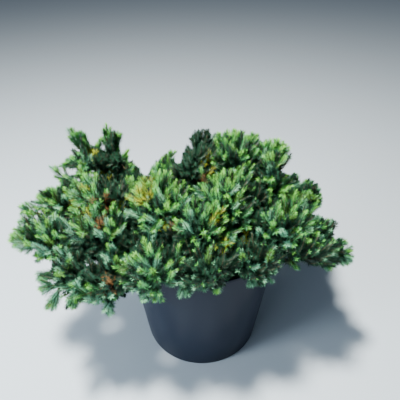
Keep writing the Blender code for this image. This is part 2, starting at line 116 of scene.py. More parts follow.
# Tufts, by the source's rule
TUFT_SOURCE = Vector((0.0, 0.0, POT_HEIGHT - 0.035))
TUFT_DROOP = -0.12
TUFT_LIFT = 4.0
TUFT_STRETCH = (1.12, 1.0, 0.90)
STEM_BACK = 0.62
STEM_STRAIGHT = 0.006
STEM_AHEAD = 0.35
STEM_RADII = (0.0018, 0.0016, 0.0009)
STEM_STEP = 0.006
STEM_SIDES = 6
GOLDEN_ANGLE = math.pi * (3.0 - math.sqrt(5.0))
Tuft = namedtuple("Tuft", "bearing reach rise size tone carrier fork")
# A tuft's tone paints light and shade into its colour: shade and dim tufts take the painted shade, and
# fresh tufts, set where the plant is lit, have the most bright young tips, real new growth laid on as
# painted light.
TUFTS = {
    "crown_heart": Tuft(110, 0.032, 0.074, 0.050, "shade", "trunk", 1.00),
    "left_front": Tuft(-151, 0.188, -0.006, 0.058, "green", "trunk", 0.22),
    "front_mid": Tuft(-85, 0.110, 0.020, 0.052, "dim", "trunk", 0.20),
    "far_right": Tuft(-13, 0.166, 0.002, 0.056, "dim", "trunk", 0.22),
    "back_right": Tuft(54, 0.134, 0.034, 0.062, "green", "trunk", 0.20),
    "back_left": Tuft(142, 0.168, 0.012, 0.058, "dim", "trunk", 0.22),
    "left": Tuft(176, 0.188, 0.032, 0.058, "fresh", "trunk", 0.44),
    "front": Tuft(-116, 0.122, 0.016, 0.054, "fresh", "trunk", 0.44),
    "right_front": Tuft(-28, 0.116, 0.040, 0.056, "green", "trunk", 0.44),
    "crown_back": Tuft(93, 0.098, 0.054, 0.052, "shade", "trunk", 0.44),
    "inner_spire": Tuft(156, 0.136, 0.080, 0.053, "dim", "trunk", 0.62),
    "front_right": Tuft(-58, 0.114, 0.014, 0.052, "dim", "trunk", 0.60),
    "dome": Tuft(36, 0.060, 0.080, 0.054, "fresh", "trunk", 0.62),
    "mid_front": Tuft(-146, 0.062, 0.050, 0.064, "fresh", "left_front", 0.22),
    "mid_right": Tuft(-48, 0.044, 0.058, 0.058, "fresh", "front_right", 0.24),
    "crown_mid": Tuft(134, 0.076, 0.038, 0.052, "fresh", "back_left", 0.30),
    "front_heart": Tuft(-94, 0.066, 0.038, 0.064, "green", "front_mid", 0.30),
    "left_spire": Tuft(166, 0.168, 0.084, 0.056, "green", "inner_spire", 0.50),
    "left_low": Tuft(-166, 0.208, 0.012, 0.056, "fresh", "left", 0.62),
    "front_left": Tuft(-138, 0.150, -0.008, 0.058, "green", "left_front", 0.46),
    "mid_left": Tuft(-174, 0.122, 0.044, 0.064, "fresh", "left", 0.42),
    "left_heart": Tuft(-156, 0.134, 0.026, 0.062, "green", "left_front", 0.72),
    "right_heart": Tuft(-20, 0.074, 0.042, 0.054, "shade", "right_front", 0.34),
    "right_low": Tuft(-34, 0.144, 0.014, 0.051, "dim", "front_right", 0.50),
    "shoulder": Tuft(8, 0.142, 0.036, 0.055, "dim", "far_right", 0.45),
    "dome_right": Tuft(4, 0.096, 0.076, 0.050, "fresh", "dome", 0.35),
    "right_back": Tuft(27, 0.160, 0.002, 0.058, "green", "back_right", 0.45),
    "back": Tuft(80, 0.158, 0.010, 0.054, "green", "crown_back", 0.45),
    "back_low": Tuft(116, 0.142, -0.006, 0.052, "dim", "back_left", 0.58),
}
LEADER = "crown_heart"
SEED = 41

# Plumes and shoots; a shoot's level says how far out it grows
INNER, OUTER, LEADING_SIDE, LEADING_MAIN = range(4)
SHOOT_TONES = ("fresh", "green", "dim", "shade")
OLD_TONES = ("", "gold", "rust")
PLUME_DENSITY = 5600.0
PLUME_REACH = (0.82, 0.97)
INNER_DENSITY = 7500.0
INNER_REACH = (0.40, 0.72)
PLUME_FAN = math.radians(120.0)
PLUME_ROOTS = (0.15, 0.75)
PLUME_ROOT_SHIFT = 0.25
PLUME_TESTS = (0.35, 0.6, 0.8, 1.0)
PLUME_TWIG = ((0.0, 0.0010), (0.25, 0.0009), (0.5, 0.0008), (0.75, 0.0006), (1.0, 0.0004))
PLUME_SAG = 0.20
SHORTEST_PLUME = 0.016
USUAL_PLUME = 0.045
LONGEST_NEEDLED = 0.034
LEAST_BARE = 0.25
# Plumes that point back further than this take the painted shade.
SHADED_SIDE = -0.25
GREEN_CHANCE = 0.35
BURIED = 0.62
SIDE_SHOOTS = 5
FEWEST_SIDE_SHOOTS = 3
MOST_SIDE_SHARE = 1.1
SIDE_SPAN = (0.28, 0.80)
SIDE_PLACES = (0.2, 0.8)
SIDE_LENGTHS = (0.030, 0.018)
SIDE_LENGTH_SPREAD = (0.75, 1.15)
SIDE_LEAN = math.radians(40.0)
SIDE_LEAN_SPREAD = (0.8, 1.25)
SIDE_BEND = 1.3
SIDE_LIFT = 0.32
SIDE_BARE = 0.08
SIDE_TWIG_RADII = (0.0006, 0.0005, 0.0004)
SIDE_AIM_STEP = 0.05
TWIG_SIDES = 4
LEADING_SIDE_SHOOTS = 6
LEADING_SIDE_SPAN = (0.02, 0.78)
LEADING_SIDE_LENGTHS = (0.020, 0.010)
LEADING_SIDE_LEAN = math.radians(32.0)
LEADING_BARE = 0.10
LEADING_SAG = 0.03
LEADING_NEEDLES = 1.25
LEADING_FROM = 0.5
LEADING_TWIG_BARE = 0.3
LEADING_TWIG_RADII = (0.0012, 0.0011, 0.0010)
LEADING_TWIG_TESTS = (0.4, 0.7, 1.0)
BOUGH_SHOOTS = 9
BOUGH_SHOOT_LENGTHS = (0.022, 0.034)
BOUGH_SHOOT_SPAN = (0.35, 1.0)
BOUGH_SHOOT_AHEAD = 0.6
BOUGH_SHOOT_LIFT = 0.4
HOLLOW_DEPTH = 0.74
HOLLOW_PLUMES = 3
HOLLOW_REACH = 0.70
HOLLOW_FROM = 0.3
HOLLOW_SPREAD = 0.8
OLD_PLACE = 0.4
OLD_CHANCE = 0.90
TIP_SPARE = 0.0035
LEADING_SPARE = 0.0045
ROOM_TRIALS = (1.0, 0.86, 0.72)
ROOM_TESTS = (0.6, 0.8, 1.0)
WALL_CLEARANCE = 0.005

# Needles
WHORL_STEP = 0.0012
LEADING_WHORL_STEP = 0.0008
INNER_WHORL_STEP = 0.0013
INNER_NEEDLE_WIDTH = 0.0015
NEEDLE_LENGTH = 0.0080
NEEDLE_LENGTH_SPREAD = (0.82, 1.12)
NEEDLE_WIDTH = 0.0010
NEEDLE_FOLD = 0.22
NEEDLE_BROADEST = 0.32
NEEDLE_STANDOFF = 0.0004
NEEDLE_LEANS = (math.radians(52.0), math.radians(34.0))
LEAN_POWER = 1.4
LEAN_NOISE = math.radians(5.0)
TURN_NOISE = 0.12
STEEP_WAY = 0.9
BLUNT_FROM = 0.93
BLUNT_LEANS = (0.1, 1.3)
TIP_SHORTENING = 0.45
SHORTENING_POWER = 4
MOST_NEEDLES = 95000
OLIVE_CHANCE = 0.30
# Share of a dim tuft's shoots that escape the painted shade.
DIM_BODIES = 0.18
OLD_UNTIL = 0.80
OLD_SHARE = 0.80
# Where young tips begin on a shoot, by tone; they begin soonest in fresh tufts, where the plant is lit.
YOUNG_FROM = (0.38, 0.58, 0.74, 1.50)
YOUNG_SPREAD = 0.30
YOUNG_FUZZ = 0.06
TIP_AFTER = 0.24
PALE_GLINT_CHANCE = 0.06
# The second chance, low down, lays a painted reflection of the sky over the real waxy blue.
BLUE_CHANCES = (0.08, 0.68)
REFLECTED_BLUE_BELOW = 0.280
REFLECTED_BLUE_FADE = 0.05

# Places in the photograph, in its pixels: the outline's leading shoots, the sky between them, dark
# hollows, drawn back and painted in shade, and old yellow and old brown shoots
PHOTO_SIZE = 400
FOCAL = PHOTO_SIZE * CAMERA_LENS / SENSOR_WIDTH
Leading = namedtuple("Leading", "tuft u v root_u root_v")
LEADING_SHOOTS = [Leading(tuft, *row) for tuft, rows in (
    ("left_spire", ((66, 127, 80, 148), (76, 130, 84, 147), (84, 132, 89, 152))),
    ("inner_spire", ((98, 140, 102, 158), (106, 122, 107, 148), (114, 131, 109, 148),
        (121, 132, 113, 152), (130, 148, 117, 164), (137, 166, 122, 176))),
    ("crown_mid", ((153, 164, 158, 182), (162, 156, 163, 174), (172, 149, 166, 170))),
    ("crown_back", ((183, 157, 197, 168), (186, 144, 199, 162), (192, 133, 200, 154),
        (198, 129, 203, 156), (207, 128, 206, 152))),
    ("dome", ((217, 131, 222, 152), (229, 129, 232, 152), (240, 130, 238, 148),
        (256, 133, 246, 152))),
    ("dome_right", ((270, 140, 266, 158), (279, 139, 273, 158), (288, 143, 272, 160),
        (293, 156, 272, 166))),
    ("back_right", ((298, 173, 296, 190),)),
    ("shoulder", ((307, 178, 303, 194), (319, 186, 302, 200), (323, 202, 303, 208))),
    ("far_right", ((323, 217, 308, 226), (335, 220, 317, 232), (349, 243, 328, 246),
        (354, 251, 332, 252), (351, 264, 333, 256), (331, 270, 320, 256))),
    ("right_low", ((298, 270, 288, 256),)),
    ("front_right", ((274, 284, 260, 270), (254, 285, 252, 270))),
    ("front_mid", ((220, 293, 214, 278), (207, 289, 195, 277), (185, 297, 184, 278))),
    ("front", ((159, 301, 154, 282), (141, 300, 147, 282))),
    ("front_left", ((110, 317, 106, 290), (93, 303, 94, 284), (84, 300, 87, 282),
        (74, 308, 76, 284), (45, 311, 60, 290), (47, 304, 60, 287), (39, 288, 57, 285))),
    ("left_front", ((37, 278, 54, 270),)),
    ("left_low", ((34, 258, 48, 246), (25, 255, 38, 242), (9, 243, 32, 238), (11, 233, 32, 232),
        (20, 219, 38, 227), (19, 207, 40, 214))),
    ("left", ((37, 193, 52, 208), (45, 188, 58, 202), (57, 186, 68, 198), (48, 165, 72, 183))),
    ("left_spire", ((61, 163, 84, 167), (73, 155, 88, 163), (67, 135, 82, 151))),
) for row in rows]
Spot = namedtuple("Spot", "u v size")
SKY_SPOTS = [Spot(*row) for row in (
    (93, 135, 8), (93, 142, 4), (103, 147, 4), (114, 124, 4), (114, 142, 2), (125, 141, 6),
    (124, 151, 5), (131, 156, 4), (66, 143, 9), (78, 148, 5), (57, 153, 5), (72, 171, 5), (48, 180, 8),
    (55, 181, 4), (144, 158, 12), (145, 170, 6), (157, 157, 4), (187, 134, 5), (181, 150, 5),
    (191, 147, 3), (178, 159, 5), (222, 130, 4), (248, 131, 4), (262, 138, 4), (293, 149, 4),
    (294, 165, 9), (302, 177, 6), (289, 171, 5), (283, 167, 4), (328, 193, 8), (320, 211, 5),
    (314, 213, 3), (329, 216, 4), (341, 231, 8), (345, 247, 3), (45, 265, 8), (35, 268, 6),
    (31, 252, 5), (52, 282, 4), (48, 296, 4), (63, 302, 5), (58, 292, 4), (84, 307, 3), (102, 306, 4),
    (121, 308, 9), (125, 301, 4), (134, 297, 7), (168, 291, 9), (197, 294, 7), (224, 291, 6),
    (212, 293, 4), (237, 285, 11), (265, 290, 6), (286, 274, 10), (272, 280, 6), (311, 271, 8),
    (302, 262, 6), (341, 267, 3), (322, 270, 3),
)]
PAINTED_SHADE_HOLLOWS = [Spot(*row) for row in (
    (76, 250, 11), (86, 262, 8), (72, 268, 7), (97, 228, 7), (118, 224, 8), (114, 192, 8),
    (122, 205, 5), (140, 205, 5), (165, 244, 11), (200, 215, 6), (232, 218, 8), (256, 234, 8),
    (210, 250, 12), (238, 266, 11), (286, 244, 7), (110, 280, 6), (193, 174, 6), (262, 192, 4),
    (150, 236, 4), (127, 241, 6), (304, 246, 6), (104, 170, 6), (244, 198, 4), (182, 246, 9),
    (208, 264, 7), (242, 271, 6), (147, 216, 6), (171, 272, 6), (262, 231, 8), (152, 250, 5),
)]
GOLD_SPOTS = [Spot(*row) for row in (
    (73, 204, 7), (88, 210, 7), (106, 176, 7), (94, 154, 6), (150, 190, 9), (139, 199, 8),
    (207, 166, 8), (216, 217, 9), (222, 246, 8), (245, 240, 6), (86, 186, 5), (122, 208, 6),
    (165, 226, 5),
)]
RUST_SPOTS = [Spot(*row) for row in (
    (108, 204, 7), (112, 282, 6), (200, 182, 6), (176, 232, 4), (102, 228, 5),
)]

# Looks; a stop is a noise factor and the colour there
Look = namedtuple("Look", "colour roughness slot")
NEEDLE_LOOKS = {
    "fresh": Look((0.110, 0.415, 0.080), 0.40, "needles_fresh"),
    "tip": Look((0.200, 0.530, 0.080), 0.40, "needles_fresh"),
    "green": Look((0.056, 0.215, 0.078), 0.38, "needles_green"),
    "olive": Look((0.085, 0.218, 0.040), 0.40, "needles_green"),
    # blue: the needles' real waxy blue, laid on more often low down as a painted reflection of the sky
    "blue": Look((0.078, 0.240, 0.156), 0.42, "needles_green"),
    # pale: light waxy needles, partly the real pale bands and partly painted glints
    "pale": Look((0.170, 0.420, 0.240), 0.40, "needles_green"),
    # shade: painted shade, a dark green for needles inside the tufts, at their back, in dim shoots and in
    # the hollows
    "shade": Look((0.014, 0.052, 0.028), 0.46, "needles_shade"),
    "gold": Look((0.400, 0.440, 0.030), 0.60, "needles_shade"),
    "rust": Look((0.200, 0.095, 0.032), 0.65, "needles_shade"),
}
NEEDLE_DARKEST = 0.78
NEEDLE_LIGHTEST = 1.20
NEEDLE_SHINE = 0.35
Rough = namedtuple("Rough", "colour roughness scale detail stretch strength distance stops")
ROUGH_LOOKS = {
    "bark": Rough((0.15, 0.085, 0.05), 0.85, 260.0, 6.0, (1.0, 1.0, 0.45), 0.6, 0.0008, [
        (0.30, (0.040, 0.024, 0.015)), (0.50, (0.110, 0.066, 0.040)), (0.72, (0.230, 0.160, 0.110))]),
    "twig": Rough((0.060, 0.046, 0.022), 0.75, 300.0, 3.0, (1.0, 1.0, 1.0), 0.3, 0.0003, [
        (0.35, (0.030, 0.024, 0.012)), (0.68, (0.090, 0.068, 0.030))]),
    "potting_mix": Rough((0.012, 0.008, 0.006), 0.95, 420.0, 8.0, (1.0, 1.0, 1.0), 0.9, 0.0012, [
        (0.30, (0.012, 0.008, 0.006)), (0.55, (0.040, 0.026, 0.017)), (0.78, (0.105, 0.070, 0.045))]),
    "bark_chips": Rough((0.030, 0.018, 0.011), 0.95, 420.0, 8.0, (1.0, 1.0, 1.0), 0.9, 0.0012, [
        (0.30, (0.030, 0.018, 0.011)), (0.52, (0.090, 0.052, 0.030)), (0.75, (0.210, 0.130, 0.075))]),
}
POT_STOPS = [(0.35, (0.013, 0.017, 0.028)), (0.62, (0.016, 0.020, 0.032)), (0.85, (0.024, 0.028, 0.041))]
POT_SHINE = 0.05
POT_FACTORS = (0.3, 0.75)
POT_ROUGHNESS = (0.28, 0.42)

# Studio
FLOOR_HALF = 6.0
FLOOR_COLOUR = (0.54, 0.60, 0.68)
SKY_COLOUR = (0.66, 0.82, 1.0, 1.0)
SKY_STRENGTH = 0.15
LIGHTS_AIM = Vector((0.0, 0.0, 0.2))
Light = namedtuple("Light", "place size power colour")
LIGHTS = {
    "key": Light((-0.30, -0.16, 1.52), 0.20, 77.0, (0.99, 1.0, 0.91)),
    "side": Light((-1.22, -0.62, 0.45), 0.5, 27.0, (0.82, 0.94, 1.0)),
    "front": Light((-0.95, -1.20, 1.0), 1.0, 5.2, (0.72, 0.88, 1.0)),
}


# Spaces and pixels


def egg(tuft):
    """Centre and axes of a tuft's space; the axes' lengths are its half sizes."""
    bearing = math.radians(tuft.bearing)
    height = POT_HEIGHT + tuft.rise
    centre = Vector((tuft.reach * math.cos(bearing), tuft.reach * math.sin(bearing), height))
    lift = Vector((0.0, 0.0, TUFT_DROOP + TUFT_LIFT * tuft.rise))
    aim = ((centre - TUFT_SOURCE).normalized() + lift).normalized()
    across = aim.cross(Vector((0.0, 0.0, 1.0))).normalized()
    up = across.cross(aim)
    axes = [axis * tuft.size * stretch for axis, stretch in zip((aim, across, up), TUFT_STRETCH)]
    return centre, axes


def depth_in(space, place):
    """How far out a place lies in a tuft's space: 0 at its centre, 1 at its skin."""
    centre, axes = space
    offset = place - centre
    return math.sqrt(sum((offset.dot(axis) / axis.length_squared) ** 2 for axis in axes))


def pot_radius(height):
    """The pot's outer radius at a height."""
    return POT_FOOT_RADIUS + (POT_RIM_RADIUS - RIM_THICKENING - POT_FOOT_RADIUS) * height / POT_HEIGHT


def is_clear(place, clearance):
    """Whether a place is clear of the pot's wall and of the potting mix."""
    reach = math.hypot(place.x, place.y)
    if reach < pot_radius(place.z) - POT_WALL - clearance:
        return place.z > SOIL_LEVEL + clearance
    return place.z > POT_HEIGHT + clearance or reach > POT_RIM_RADIUS + clearance


def pixel_of(place):
    """The photograph's pixel that shows a place."""
    across, ahead, up = place - Vector(CAMERA_PLACE)
    depth = ahead * math.cos(CAMERA_TILT) - up * math.sin(CAMERA_TILT)
    height = ahead * math.sin(CAMERA_TILT) + up * math.cos(CAMERA_TILT)
    return PHOTO_SIZE / 2 + FOCAL * across / depth, PHOTO_SIZE / 2 - FOCAL * height / depth


def seen_in(space, u, v):
    """The place that a pixel shows, taken where its line of sight runs deepest through a tuft's space."""
    across, height = (u - PHOTO_SIZE / 2) / FOCAL, (PHOTO_SIZE / 2 - v) / FOCAL
    sine, cosine = math.sin(CAMERA_TILT), math.cos(CAMERA_TILT)
    sight = Vector((across, cosine + height * sine, height * cosine - sine))
    camera = Vector(CAMERA_PLACE)
    centre, axes = space
    offset = [(camera - centre).dot(axis) / axis.length_squared for axis in axes]
    slope = [sight.dot(axis) / axis.length_squared for axis in axes]
    share = -sum(a * b for a, b in zip(offset, slope)) / sum(b * b for b in slope)
    return camera + sight * share


def in_outline(u, v):
    """Whether a pixel lies inside the ring that joins the leading shoots' tips."""
    inside = False
    for here, there in zip(LEADING_SHOOTS, LEADING_SHOOTS[1:] + LEADING_SHOOTS[:1]):
        if (here.v > v) == (there.v > v):
            continue
        if u < here.u + (there.u - here.u) * (v - here.v) / (there.v - here.v):
            inside = not inside
    return inside


def room_for(start, tip):
    """The tip of a shoot, drawn back to where the photograph shows foliage, or None."""
    for share in ROOM_TRIALS:
        trial = start.lerp(tip, share)
        if not in_outline(*pixel_of(trial)) or not is_clear(trial, WALL_CLEARANCE):
            continue
        if not any(in_spot(start.lerp(trial, test), SKY_SPOTS) for test in ROOM_TESTS):
            return trial
    return None


def in_spot(place, spots):
    """Whether the photograph shows a place in one of the spots."""
    u, v = pixel_of(place)
    return any(math.hypot(u - spot.u, v - spot.v) < spot.size for spot in spots)


# Limbs


def along(route, share):
    """The point at a share of a route's rings."""
    points = route[0]
    place = share * (len(points) - 1)
    k = min(int(place), len(points) - 2)
    return points[k].lerp(points[k + 1], place - k)


def stem_start(tuft):
    """Where a tuft's stem begins: at the back of its space, and over the rim rather than against it."""
    centre, axes = egg(tuft)
    start = centre - axes[0] * STEM_BACK
    if math.hypot(start.x, start.y) < POT_RIM_RADIUS + RIM_MARGIN:
        start.z = max(start.z, POT_HEIGHT + RIM_MARGIN)
    return start


def trunk_route(rings=7):
    """Centres and radii of the trunk, which leans from its flared foot to the leader's stem."""
    lean = stem_start(TUFTS[LEADER]) - TRUNK_FOOT
    points, radii = [], []
    for k in range(rings):
        share = k / (rings - 1)
        points.append(TRUNK_FOOT + lean * share + TRUNK_BEND * math.sin(math.pi * share))
        radius = TRUNK_RADIUS + (TRUNK_TIP_RADIUS - TRUNK_RADIUS) * share
        flare = max(0.0, 1.0 - share / FLARE_SHARE) ** 2
        radii.append(radius + (TRUNK_FOOT_RADIUS - TRUNK_RADIUS) * flare)
    return points, radii


def bough_route(name, routes, rings=5):
    """Centres and radii of a bough that leaves its carrier, arches out and ends at its tuft's stem."""
    tuft = TUFTS[name]
    start = along(routes[tuft.carrier], tuft.fork)
    end = stem_start(tuft)
    aim = egg(tuft)[1][0].normalized()
    span = end - start
    leave = (Vector((span.x, span.y, 0.0)).normalized() + Vector((0.0, 0.0, BOUGH_RISE))).normalized()
    handles = [start, start + leave * span.length * BOUGH_LEAD, end - aim * span.length * BOUGH_LEAD, end]
    if math.hypot(end.x, end.y) > RIM_CROSSER:
        for handle, rise in zip(handles[1:3], RIM_PASS):
            handle.z = max(handle.z, POT_HEIGHT + rise)
    root = BOUGH_ROOT_RADIUS if tuft.carrier == "trunk" else SIDE_BOUGH_ROOT_RADIUS
    points, radii = [], []
    for k in range(rings):
        t = k / (rings - 1)
        weights = ((1 - t) ** 3, 3 * t * (1 - t) ** 2, 3 * t * t * (1 - t), t ** 3)
        points.append(sum((handle * weight for handle, weight in zip(handles, weights)), Vector()))
        radii.append(root + (BOUGH_TIP_RADIUS - root) * t)
    return points, radii


def limb_routes():
    """Routes of the trunk and of every bough, carriers first."""
    routes = {"trunk": trunk_route()}
    waiting = [name for name in TUFTS if name != LEADER]
    while waiting:
        name = waiting.pop(0)
        if TUFTS[name].carrier in routes:
            routes[name] = bough_route(name, routes)
        else:
            waiting.append(name)
    return routes


# Meshes from arrays


def piece_from(name, points, faces, material, slot, smooth=False):
    """A shown piece made from arrays of points and of faces with equal numbers of corners."""
    mesh = bpy.data.meshes.new(name)
    mesh.vertices.add(len(points))
    mesh.vertices.foreach_set("co", np.asarray(points, dtype=np.float32).ravel())
    faces = np.asarray(faces, dtype=np.int32)
    mesh.loops.add(faces.size)
    mesh.loops.foreach_set("vertex_index", faces.ravel())
    mesh.polygons.add(len(faces))
    mesh.polygons.foreach_set("loop_start", np.arange(0, faces.size, faces.shape[1], dtype=np.int32))
    mesh.update(calc_edges=True)
    return piece_with(name, mesh, material, smooth)


def piece_with(name, mesh, material, smooth=False):
    """A shown piece that rides on the part's one body and takes its finish from a material."""
    mesh.materials.append(material)
    if smooth:
        mesh.shade_smooth()
    piece = bpy.data.objects.new(name, mesh)
    bpy.context.scene.collection.objects.link(piece)
    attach(piece, "root")
    return piece


class Bundle:
    """Many small meshes with faces of one kind, gathered into one."""

    def __init__(self):
        self.points, self.faces, self.count = [], [], 0

    def add(self, points, faces):
        self.points.append(np.asarray(points))
        self.faces.append(np.asarray(faces) + self.count)
        self.count += len(points)

    def add_tube(self, points, radii, sides=TWIG_SIDES, relief=0.0):
        self.add(tube_points(points, radii, sides, relief), ring_faces(len(points), sides))

    def arrays(self):
        return np.concatenate(self.points), np.concatenate(self.faces)


def ring_faces(rings, sides):
    """Quads between rings of points, and fans of quads that close the ends of an even number of sides."""
    quads = []
    for k in range(rings - 1):
        for i in range(sides):
            j = (i + 1) % sides
            quads.append((k * sides + i, k * sides + j, (k + 1) * sides + j, (k + 1) * sides + i))
    last = (rings - 1) * sides
    for i in range(1, sides - 1, 2):
        quads.append((0, (i + 2) % sides, i + 1, i))
        quads.append((last, last + i, last + i + 1, last + (i + 2) % sides))
    return quads


def tube_points(points, radii, sides, relief=0.0, level_foot=False):
    """Rings of points round a path; with relief, the skin is ridged along the limb and flaky."""
    rings = []
    across = (points[1] - points[0]).orthogonal()
    for i, (point, radius) in enumerate(zip(points, radii)):
        ahead = (points[min(i + 1, len(points) - 1)] - points[max(i - 1, 0)]).normalized()
        if level_foot and i == 0:
            ahead = Vector((0.0, 0.0, 1.0))
        across = (across - ahead * across.dot(ahead)).normalized()
        up = ahead.cross(across)
        for k in range(sides):
            turn = math.tau * k / sides
            way = across * math.cos(turn) + up * math.sin(turn)
            swell = 1.0
            if relief:
                round_place = (math.cos(turn) * RIDGES_ROUND, math.sin(turn) * RIDGES_ROUND)
                ridge = noise.noise(Vector((*round_place, i * RIDGES_ALONG)))
                flake = noise.noise(point * FLAKE_SCALE + way * FLAKE_TURN)
                swell += relief * (ridge * RIDGE_SHARE + flake * FLAKE_SHARE)
            rings.append(point + way * radius * swell)
    return [tuple(ring) for ring in rings]


def resampled(points, radii, step):
    """The same path with a point every step or so, rounded through its old points."""
    new_points, new_radii = [], []
    for k in range(len(points) - 1):
        before = points[max(k - 1, 0)]
        here, there = points[k], points[k + 1]
        after = points[min(k + 2, len(points) - 1)]
        count = max(2, round((there - here).length / step))
        for i in range(count):
            t = i / count
            bend = (
                here * 2.0
                + (there - before) * t
                + (before * 2.0 - here * 5.0 + there * 4.0 - after) * t * t
                + (here * 3.0 - before - there * 3.0 + after) * t ** 3
            )
            new_points.append(bend * 0.5)
            new_radii.append(radii[k] + (radii[k + 1] - radii[k]) * t)
    return new_points + [points[-1]], new_radii + [radii[-1]]


# Materials


def plain_material(name, colour, roughness):
    material = bpy.data.materials.new(name)
    material.use_nodes = True
    shader = material.node_tree.nodes["Principled BSDF"]
    shader.inputs["Base Color"].default_value = (*colour, 1.0)
    shader.inputs["Roughness"].default_value = roughness
    return material, shader


def add_noise(material, scale, detail, stretch=(1.0, 1.0, 1.0)):
    """A noise texture in the piece's own coordinates, in the row frame's metres."""
    nodes, links = material.node_tree.nodes, material.node_tree.links
    place = nodes.new("ShaderNodeTexCoord")
    mapping = nodes.new("ShaderNodeMapping")
    mapping.inputs["Scale"].default_value = stretch
    texture = nodes.new("ShaderNodeTexNoise")
    texture.inputs["Scale"].default_value = scale
    texture.inputs["Detail"].default_value = detail
    links.new(place.outputs["Object"], mapping.inputs["Vector"])
    links.new(mapping.outputs["Vector"], texture.inputs["Vector"])
    return texture.outputs["Fac"]


def tint_by(material, shader, factor, stops):
    """Base colour by a factor, from stops of (place, colour)."""
    nodes, links = material.node_tree.nodes, material.node_tree.links
    ramp = nodes.new("ShaderNodeValToRGB")
    entries = ramp.color_ramp.elements
    while len(entries) < len(stops):
        entries.new(0.5)
    for entry, (place, colour) in zip(entries, stops):
        entry.position = place
        entry.color = (*colour, 1.0)
    links.new(factor, ramp.inputs["Fac"])
    links.new(ramp.outputs["Color"], shader.inputs["Base Color"])


def relief_by(material, shader, factor, strength, distance):
    """A bump of the surface by a factor."""
    nodes, links = material.node_tree.nodes, material.node_tree.links
    bump = nodes.new("ShaderNodeBump")
    bump.inputs["Strength"].default_value = strength
    bump.inputs["Distance"].default_value = distance
    links.new(factor, bump.inputs["Height"])
    links.new(bump.outputs["Normal"], shader.inputs["Normal"])


def scaled(colour, share):
    return tuple(part * share for part in colour)


def needle_material(kind):
    """Waxy needles of one colour, a little darker here and lighter there."""
    colour = NEEDLE_LOOKS[kind].colour
    material, shader = plain_material(f"needles_{kind}", colour, NEEDLE_LOOKS[kind].roughness)
    factor = add_noise(material, scale=160.0, detail=2.0)
    stops = [(0.30, scaled(colour, NEEDLE_DARKEST)), (0.70, scaled(colour, NEEDLE_LIGHTEST))]
    tint_by(material, shader, factor, stops)
    shader.inputs["Specular IOR Level"].default_value = NEEDLE_SHINE
    return material


def rough_material(name):
    """A rough surface that one noise both tints and raises."""
    look = ROUGH_LOOKS[name]
    material, shader = plain_material(name, look.colour, look.roughness)
    factor = add_noise(material, look.scale, look.detail, look.stretch)
    tint_by(material, shader, factor, look.stops)
    relief_by(material, shader, factor, look.strength, look.distance)
    return material


def pot_material():
    """Dark blow-moulded plastic with a faint orange-peel skin and a little dry dust."""
    material, shader = plain_material("pot_plastic", POT_STOPS[1][1], POT_ROUGHNESS[1])
    nodes, links = material.node_tree.nodes, material.node_tree.links
    clouds = add_noise(material, scale=22.0, detail=8.0, stretch=(1.0, 1.0, 0.6))
    tint_by(material, shader, clouds, POT_STOPS)
    spread = nodes.new("ShaderNodeMapRange")
    for socket, value in zip(("From Min", "From Max", "To Min", "To Max"), POT_FACTORS + POT_ROUGHNESS):
        spread.inputs[socket].default_value = value
    links.new(clouds, spread.inputs["Value"])
    links.new(spread.outputs["Result"], shader.inputs["Roughness"])
    skin = add_noise(material, scale=900.0, detail=2.0)
    relief_by(material, shader, skin, strength=0.12, distance=0.0002)
    shader.inputs["Specular IOR Level"].default_value = POT_SHINE
    return material


# Foliage


def curve_at(start, bend, end, t):
    return start * (1 - t) ** 2 + bend * (2 * t * (1 - t)) + end * t * t


def is_curve_clear(start, bend, end, tests):
    """Whether a curve is clear of the pot and the potting mix at each of some shares of it."""
    return all(is_clear(curve_at(start, bend, end, t), WALL_CLEARANCE) for t in tests)


def grow_leading(leading, space, start, tone, rng, shoots, twigs):
    """A leading shoot of the outline: a twig from the tuft's stem to its root, and the plume from there."""
    tip = seen_in(space, leading.u, leading.v)
    root = seen_in(space, leading.root_u, leading.root_v)
    bend = start.lerp(root, 0.5)
    if is_curve_clear(start, bend, root, LEADING_TWIG_TESTS):
        add_shoot(start, bend, root, tone, LEADING_TWIG_BARE, OUTER, rng, shoots)
        twigs.add_tube([start, bend, root], LEADING_TWIG_RADII)
    grow_plume(root, tip, tone, LEADING_MAIN, rng, shoots, twigs)


